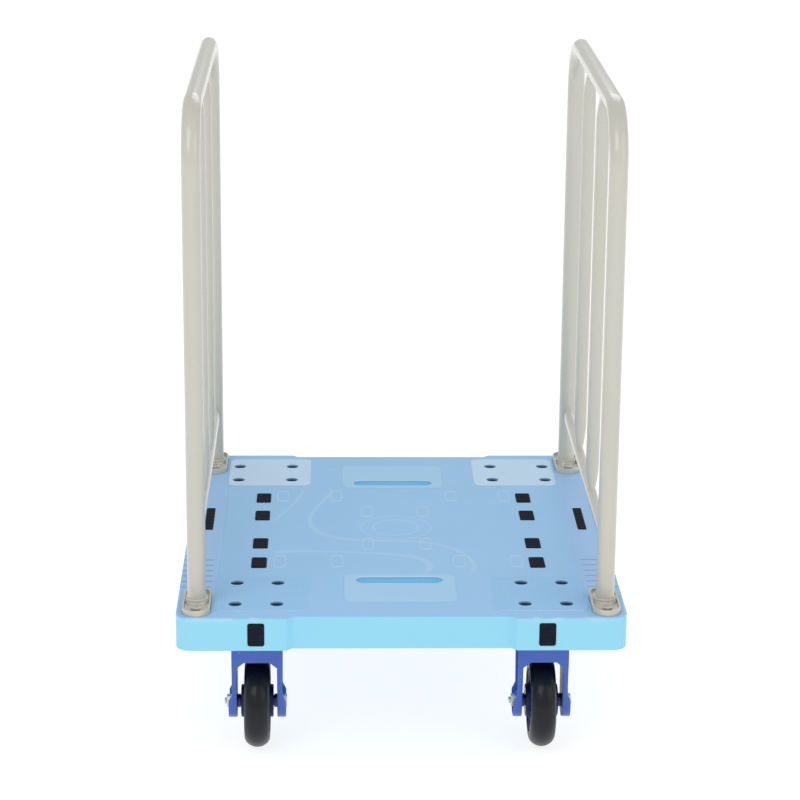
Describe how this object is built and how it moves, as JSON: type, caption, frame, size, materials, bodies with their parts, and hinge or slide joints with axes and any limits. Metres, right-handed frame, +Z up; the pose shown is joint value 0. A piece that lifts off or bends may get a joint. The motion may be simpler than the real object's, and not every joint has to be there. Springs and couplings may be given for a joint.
{
  "type": "platform cart",
  "caption": "Flat platform cart with a ribbed moulded deck, tubular side frames bolted along both long sides, fixed casters in front and swivel casters behind.",
  "frame": {"origin": "on the floor, under the middle of the deck", "axes": "+X to the right across the two side frames, +Y to the back towards the swivel casters, +Z up"},
  "size_m": [0.614, 0.723, 0.919],
  "materials": {
    "deck": "satin moulded polypropylene",
    "rubber_pads": "matte",
    "frame_paint": "gloss powder coat",
    "fork_paint": "satin paint",
    "zinc": "bright zinc plate",
    "bearing_steel": "ground",
    "tyre": "matte",
    "hub": "satin moulded nylon"
  },
  "bodies": {
    "cart": {"deck": "deck", "grip_pads": "rubber_pads", "side_pads": "rubber_pads", "end_bumpers": "rubber_pads", "left_hoop": "frame_paint", "left_lower_rail": "frame_paint", "left_front_bar": "frame_paint", "left_front_foot": "frame_paint", "left_rear_bar": "frame_paint", "left_rear_foot": "frame_paint", "right_hoop": "frame_paint", "right_lower_rail": "frame_paint", "right_front_bar": "frame_paint", "right_front_foot": "frame_paint", "right_rear_bar": "frame_paint", "right_rear_foot": "frame_paint", "foot_bolts": "zinc", "foot_washers": "zinc", "foot_nuts": "zinc", "caster_bolts": "zinc", "caster_washers": "zinc", "caster_nuts": "zinc", "king_pins": "zinc", "king_nuts": "zinc", "fixed_fork_left": "fork_paint", "swivel_plate_left": "fork_paint", "fixed_fork_right": "fork_paint", "swivel_plate_right": "fork_paint", "sleeve_front_left": "bearing_steel", "axle_bolt_front_left": "zinc", "axle_nut_front_left": "zinc", "sleeve_front_right": "bearing_steel", "axle_bolt_front_right": "zinc", "axle_nut_front_right": "zinc"},
    "swivel_left": {"swivel_fork_left": "fork_paint", "race_balls_left": "bearing_steel", "sleeve_rear_left": "bearing_steel", "axle_bolt_rear_left": "zinc", "axle_nut_rear_left": "zinc"},
    "swivel_right": {"swivel_fork_right": "fork_paint", "race_balls_right": "bearing_steel", "sleeve_rear_right": "bearing_steel", "axle_bolt_rear_right": "zinc", "axle_nut_rear_right": "zinc"},
    "wheel_front_left": {"tyre_front_left": "tyre", "hub_front_left": "hub", "bearings_front_left": "bearing_steel"},
    "wheel_front_right": {"tyre_front_right": "tyre", "hub_front_right": "hub", "bearings_front_right": "bearing_steel"},
    "wheel_rear_left": {"tyre_rear_left": "tyre", "hub_rear_left": "hub", "bearings_rear_left": "bearing_steel"},
    "wheel_rear_right": {"tyre_rear_right": "tyre", "hub_rear_right": "hub", "bearings_rear_right": "bearing_steel"}
  },
  "joints": [
    {"name": "wheel_front_left_spin", "type": "hinge", "parent": "cart", "child": "wheel_front_left", "pos_m": [-0.199, -0.267, 0.065], "axis": [1, 0, 0], "continuous": true},
    {"name": "wheel_front_right_spin", "type": "hinge", "parent": "cart", "child": "wheel_front_right", "pos_m": [0.199, -0.267, 0.065], "axis": [1, 0, 0], "continuous": true},
    {"name": "caster_left_swivel", "type": "hinge", "parent": "cart", "child": "swivel_left", "pos_m": [-0.199, 0.267, 0.1725], "axis": [0, 0, 1], "continuous": true},
    {"name": "caster_right_swivel", "type": "hinge", "parent": "cart", "child": "swivel_right", "pos_m": [0.199, 0.267, 0.1725], "axis": [0, 0, 1], "continuous": true},
    {"name": "wheel_rear_left_spin", "type": "hinge", "parent": "swivel_left", "child": "wheel_rear_left", "pos_m": [-0.199, 0.232, 0.065], "axis": [1, 0, 0], "continuous": true},
    {"name": "wheel_rear_right_spin", "type": "hinge", "parent": "swivel_right", "child": "wheel_rear_right", "pos_m": [0.199, 0.232, 0.065], "axis": [1, 0, 0], "continuous": true}
  ]
}
